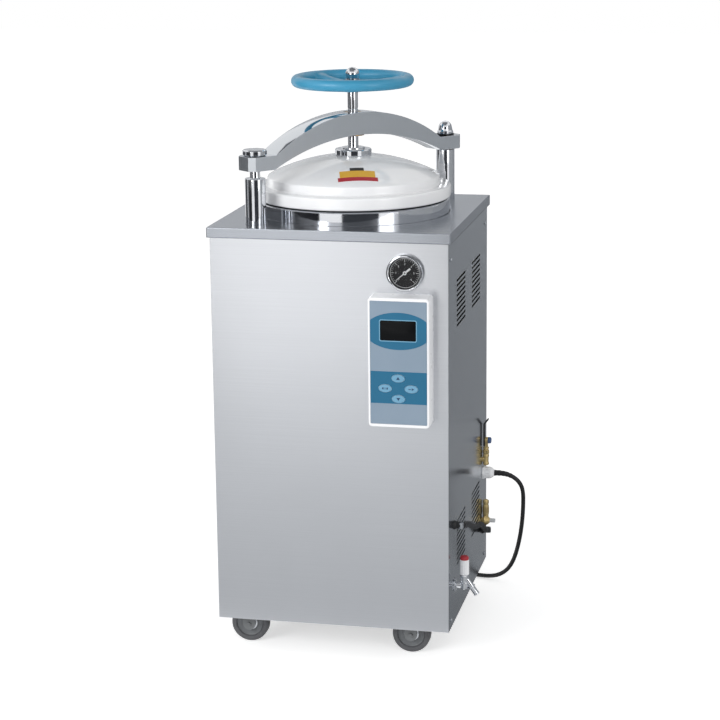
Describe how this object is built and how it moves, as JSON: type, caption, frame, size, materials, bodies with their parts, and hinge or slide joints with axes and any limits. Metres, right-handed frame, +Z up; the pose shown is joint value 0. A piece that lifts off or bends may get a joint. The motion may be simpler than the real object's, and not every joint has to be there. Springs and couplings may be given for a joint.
{
  "type": "autoclave",
  "caption": "Upright steam steriliser: sheet-steel cabinet on swivel castors, domed lid under a swinging arched yoke with screw spindle and handwheel, gauge, keypad, side valves.",
  "frame": {"origin": "on the vessel's upright axis, at floor level", "axes": "+Z up along the vessel's axis, -Y out of the front panel, +X towards the panel that carries the tap and valves"},
  "size_m": [0.5295, 0.673, 1.083],
  "materials": {
    "brushed_sheet": "vertical brushed stainless sheet",
    "dark_sheet": "brushed stainless sheet",
    "frame_steel": "grey painted steel bar",
    "polished_steel": "polished stainless steel",
    "forged_steel": "satin machined steel",
    "lid_enamel": "white gloss enamel",
    "wheel_paint": "smooth blue coating",
    "brass": "machined brass",
    "black_rubber": "soft matt",
    "black_plastic": "matt moulded",
    "white_plastic": "moulded, light gloss",
    "membrane": "printed film",
    "key_plastic": "light blue film",
    "window": "black display window",
    "dial": "black dial",
    "needle": "white paint",
    "clear_glass": "clear",
    "wool": "mineral wool",
    "circuit_board": "green laminate",
    "heater_sheath": "darkened sheath",
    "tyre_rubber": "solid grey rubber"
  },
  "bodies": {
    "cabinet": {"base_frame": "frame_steel", "cross_bars": "frame_steel", "cabinet_frame": "frame_steel", "front_panel": "brushed_sheet", "left_panel": "dark_sheet", "right_panel": "dark_sheet", "back_panel": "dark_sheet", "deck_cap": "brushed_sheet", "vessel": "polished_steel", "insulation": "wool", "heater": "heater_sheath", "heater_plate": "brushed_sheet", "front_post": "polished_steel", "clamp_head": "polished_steel", "rear_post": "polished_steel", "pivot_nut": "polished_steel", "lug_nuts": "forged_steel", "gauge_case": "black_plastic", "gauge_bezel": "polished_steel", "gauge_dial": "dial", "gauge_glass": "clear_glass", "control_housing": "white_plastic", "control_membrane": "membrane", "display_window": "window", "control_board": "circuit_board", "drain_tap_body": "polished_steel", "inner_pipes": "forged_steel", "exhaust_valve_body": "brass", "safety_valve": "brass", "return_hose": "black_rubber", "cable_gland": "white_plastic", "mains_cable": "black_rubber", "cable_coil": "black_rubber", "mains_plug": "black_plastic", "cabinet_screws": "polished_steel"},
    "yoke": {"yoke_bar": "forged_steel", "spindle_nut": "brass", "pivot_bush": "brass"},
    "lid": {"lid_shell": "lid_enamel", "lid_seal": "black_rubber", "lid_boss": "polished_steel"},
    "screw": {"spindle": "polished_steel", "handwheel": "wheel_paint", "wheel_nut": "polished_steel"},
    "tap_knob": {"drain_tap_knob": "white_plastic"},
    "valve_lever": {"exhaust_lever": "black_plastic"},
    "needle": {"gauge_needle": "needle"},
    "key_up": {"key_up": "key_plastic"},
    "key_left": {"key_left": "key_plastic"},
    "key_right": {"key_right": "key_plastic"},
    "key_down": {"key_down": "key_plastic"},
    "basket": {"basket": "brushed_sheet"},
    "castor_fl": {"castor_fork_fl": "frame_steel"},
    "wheel_fl": {"castor_wheel_fl": "tyre_rubber"},
    "castor_fr": {"castor_fork_fr": "frame_steel"},
    "wheel_fr": {"castor_wheel_fr": "tyre_rubber"},
    "castor_bl": {"castor_fork_bl": "frame_steel"},
    "wheel_bl": {"castor_wheel_bl": "tyre_rubber"},
    "castor_br": {"castor_fork_br": "frame_steel"},
    "wheel_br": {"castor_wheel_br": "tyre_rubber"}
  },
  "joints": [
    {"name": "yoke_swing", "type": "hinge", "parent": "cabinet", "child": "yoke", "pos_m": [0.14493, 0.17211, 0.924], "axis": [0, 0, 1], "range_deg": [0, 105]},
    {"name": "lid_lift", "type": "slide", "parent": "yoke", "child": "lid", "axis": [0, 0, 1], "range_m": [0, 0.015]},
    {"name": "handwheel_turn", "type": "hinge", "parent": "lid", "child": "screw", "pos_m": [0, 0, 1.058], "axis": [0, 0, 1], "range_deg": [0, 1080]},
    {"name": "drain_tap_turn", "type": "hinge", "parent": "cabinet", "child": "tap_knob", "pos_m": [0.239, -0.158, 0.172], "axis": [0, 0, 1], "range_deg": [0, 540]},
    {"name": "exhaust_lever_turn", "type": "hinge", "parent": "cabinet", "child": "valve_lever", "pos_m": [0.228, 0.172, 0.325], "axis": [1, 0, 0], "range_deg": [0, 90]},
    {"name": "gauge_needle_turn", "type": "hinge", "parent": "cabinet", "child": "needle", "pos_m": [0.142, -0.2247, 0.739], "axis": [0, 1, 0], "range_deg": [0, 270]},
    {"name": "key_up_press", "type": "slide", "parent": "cabinet", "child": "key_up", "axis": [0, 1, 0], "range_m": [0, 0.0006], "stiffness_N_per_m": 2500},
    {"name": "key_left_press", "type": "slide", "parent": "cabinet", "child": "key_left", "axis": [0, 1, 0], "range_m": [0, 0.0006], "stiffness_N_per_m": 2500},
    {"name": "key_right_press", "type": "slide", "parent": "cabinet", "child": "key_right", "axis": [0, 1, 0], "range_m": [0, 0.0006], "stiffness_N_per_m": 2500},
    {"name": "key_down_press", "type": "slide", "parent": "cabinet", "child": "key_down", "axis": [0, 1, 0], "range_m": [0, 0.0006], "stiffness_N_per_m": 2500},
    {"name": "basket_lift", "type": "slide", "parent": "cabinet", "child": "basket", "axis": [0, 0, 1], "range_m": [0, 0.025]},
    {"name": "castor_fl_swivel", "type": "hinge", "parent": "cabinet", "child": "castor_fl", "pos_m": [-0.157, -0.157, 0.085], "axis": [0, 0, 1], "continuous": true},
    {"name": "wheel_fl_spin", "type": "hinge", "parent": "castor_fl", "child": "wheel_fl", "pos_m": [-0.175, -0.157, 0.036], "axis": [0, 1, 0], "continuous": true},
    {"name": "castor_fr_swivel", "type": "hinge", "parent": "cabinet", "child": "castor_fr", "pos_m": [0.157, -0.157, 0.085], "axis": [0, 0, 1], "continuous": true},
    {"name": "wheel_fr_spin", "type": "hinge", "parent": "castor_fr", "child": "wheel_fr", "pos_m": [0.139, -0.157, 0.036], "axis": [0, 1, 0], "continuous": true},
    {"name": "castor_bl_swivel", "type": "hinge", "parent": "cabinet", "child": "castor_bl", "pos_m": [-0.157, 0.157, 0.085], "axis": [0, 0, 1], "continuous": true},
    {"name": "wheel_bl_spin", "type": "hinge", "parent": "castor_bl", "child": "wheel_bl", "pos_m": [-0.175, 0.157, 0.036], "axis": [0, 1, 0], "continuous": true},
    {"name": "castor_br_swivel", "type": "hinge", "parent": "cabinet", "child": "castor_br", "pos_m": [0.157, 0.157, 0.085], "axis": [0, 0, 1], "continuous": true},
    {"name": "wheel_br_spin", "type": "hinge", "parent": "castor_br", "child": "wheel_br", "pos_m": [0.139, 0.157, 0.036], "axis": [0, 1, 0], "continuous": true}
  ],
  "couplings": [
    {"joint": "handwheel_turn", "follows": "lid_lift", "rad_per_m": 1256.6}
  ]
}
